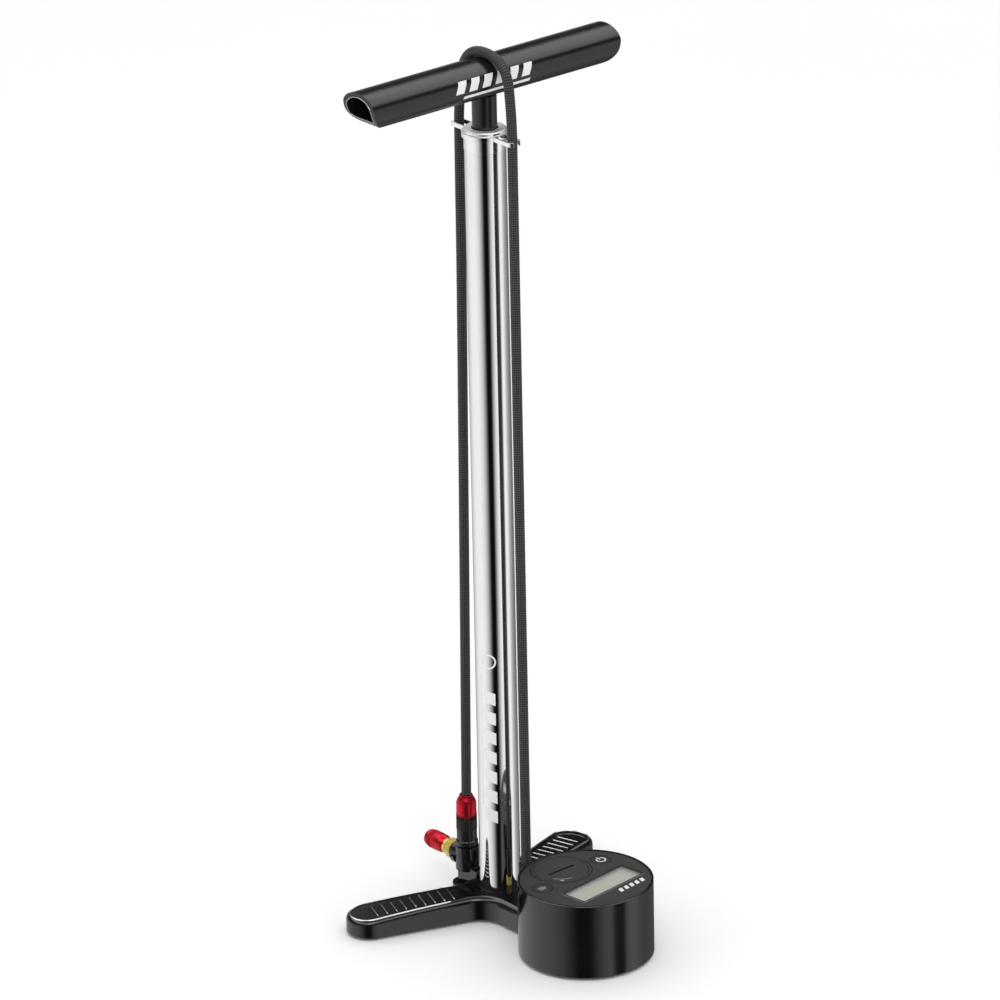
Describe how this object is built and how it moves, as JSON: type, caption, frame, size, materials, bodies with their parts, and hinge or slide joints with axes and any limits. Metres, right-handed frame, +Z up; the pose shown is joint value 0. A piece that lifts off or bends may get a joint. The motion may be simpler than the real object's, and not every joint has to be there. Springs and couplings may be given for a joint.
{
  "type": "floor bike pump",
  "caption": "Tall floor pump with a chromed barrel, cross handle, three-armed base, digital pressure gauge and a hose stowed over the handle.",
  "frame": {"origin": "on the barrel's axis, at the floor (the underside of the centre pad)", "axes": "+Z up along the barrel, +X along the cross handle, -Y towards the gauge, +Y towards the docked chuck"},
  "size_m": [0.215, 0.2179, 0.6359],
  "materials": {
    "gloss_black_paint": "gloss paint over cast aluminium",
    "polished_steel": "mirror polished",
    "zinc_steel": "zinc plated",
    "black_anodised": "satin black anodised",
    "red_anodised": "satin red anodised",
    "brass": "turned",
    "rubber": "matt",
    "plastic": "matt",
    "dial_black": "matt",
    "hose": "braided cover",
    "lcd_glass": "clear",
    "lcd_grey": "grey-green liquid crystal",
    "circuit_board": "solder mask"
  },
  "bodies": {
    "base": {"base_casting": "gloss_black_paint", "leg_pads": "rubber", "centre_pad": "rubber", "gauge_pad": "rubber", "barrel": "polished_steel", "barrel_gasket": "rubber", "valve_body": "brass", "valve_body_o_ring": "rubber", "valve_spring": "zinc_steel", "top_cap": "polished_steel", "rod_bushing": "plastic", "rod_wiper": "rubber", "hose_clip": "polished_steel", "gauge_housing": "gloss_black_paint", "gauge_base_plate": "plastic", "gauge_screws": "zinc_steel", "gauge_face": "dial_black", "lcd_window": "lcd_glass", "lcd_panel": "lcd_grey", "gauge_board": "circuit_board", "board_ring": "plastic", "button_domes": "rubber", "pressure_sensor": "brass", "gauge_union": "brass", "union_nut": "zinc_steel", "battery_tray": "plastic", "coin_cell": "zinc_steel", "outlet_fitting": "brass", "hose_ferrule": "black_anodised", "hose": "hose", "chuck_dock": "gloss_black_paint", "dock_screws": "black_anodised"},
    "piston": {"piston_head": "black_anodised", "piston_seal": "rubber", "piston_wear_ring": "plastic"},
    "handle_and_rod": {"handle": "black_anodised", "handle_washer": "zinc_steel", "handle_bolt": "zinc_steel", "rod_top_plug": "black_anodised", "piston_rod": "black_anodised", "rod_bumper": "rubber", "rod_end": "black_anodised", "piston_washer": "zinc_steel", "piston_screw": "zinc_steel"},
    "valve": {"valve_ball": "brass"},
    "power_button": {"power_button": "dial_black"},
    "mode_button": {"mode_button": "dial_black"},
    "battery_cover": {"battery_cover": "dial_black", "cover_o_ring": "rubber"},
    "chuck": {"chuck_body": "black_anodised", "chuck_sleeve": "black_anodised", "chuck_nut": "red_anodised", "chuck_adaptor": "brass", "valve_pin": "brass"},
    "chuck_head": {"chuck_head": "red_anodised", "chuck_gasket": "rubber"}
  },
  "joints": [
    {"name": "pump_stroke", "type": "slide", "parent": "base", "child": "piston", "axis": [0, 0, 1], "range_m": [0, 0.49], "deforming": ["hose"]},
    {"name": "handle_turn", "type": "hinge", "parent": "piston", "child": "handle_and_rod", "pos_m": [0, 0, 0.6], "axis": [0, 0, 1], "range_deg": [-20, 20]},
    {"name": "valve_lift", "type": "slide", "parent": "base", "child": "valve", "axis": [0, 0, -1], "range_m": [0, 0.002], "stiffness_N_per_m": 60, "springref_m": -0.002, "deforming": ["valve_spring"]},
    {"name": "power_button_press", "type": "slide", "parent": "base", "child": "power_button", "axis": [0, 0, -1], "range_m": [0, 0.0008], "stiffness_N_per_m": 800, "springref_m": -0.0005},
    {"name": "mode_button_press", "type": "slide", "parent": "base", "child": "mode_button", "axis": [0, 0, -1], "range_m": [0, 0.0008], "stiffness_N_per_m": 800, "springref_m": -0.0005},
    {"name": "battery_cover_turn", "type": "hinge", "parent": "base", "child": "battery_cover", "pos_m": [-0.0031, -0.07037, 0.0553], "axis": [0, 0, 1], "range_deg": [0, 60]},
    {"name": "chuck_lift", "type": "slide", "parent": "base", "child": "chuck", "axis": [0, 0, 1], "range_m": [0, 0.025]},
    {"name": "chuck_head_turn", "type": "hinge", "parent": "chuck", "child": "chuck_head", "pos_m": [0, 0.06, 0.0287], "axis": [0, 1, 0], "continuous": true}
  ]
}
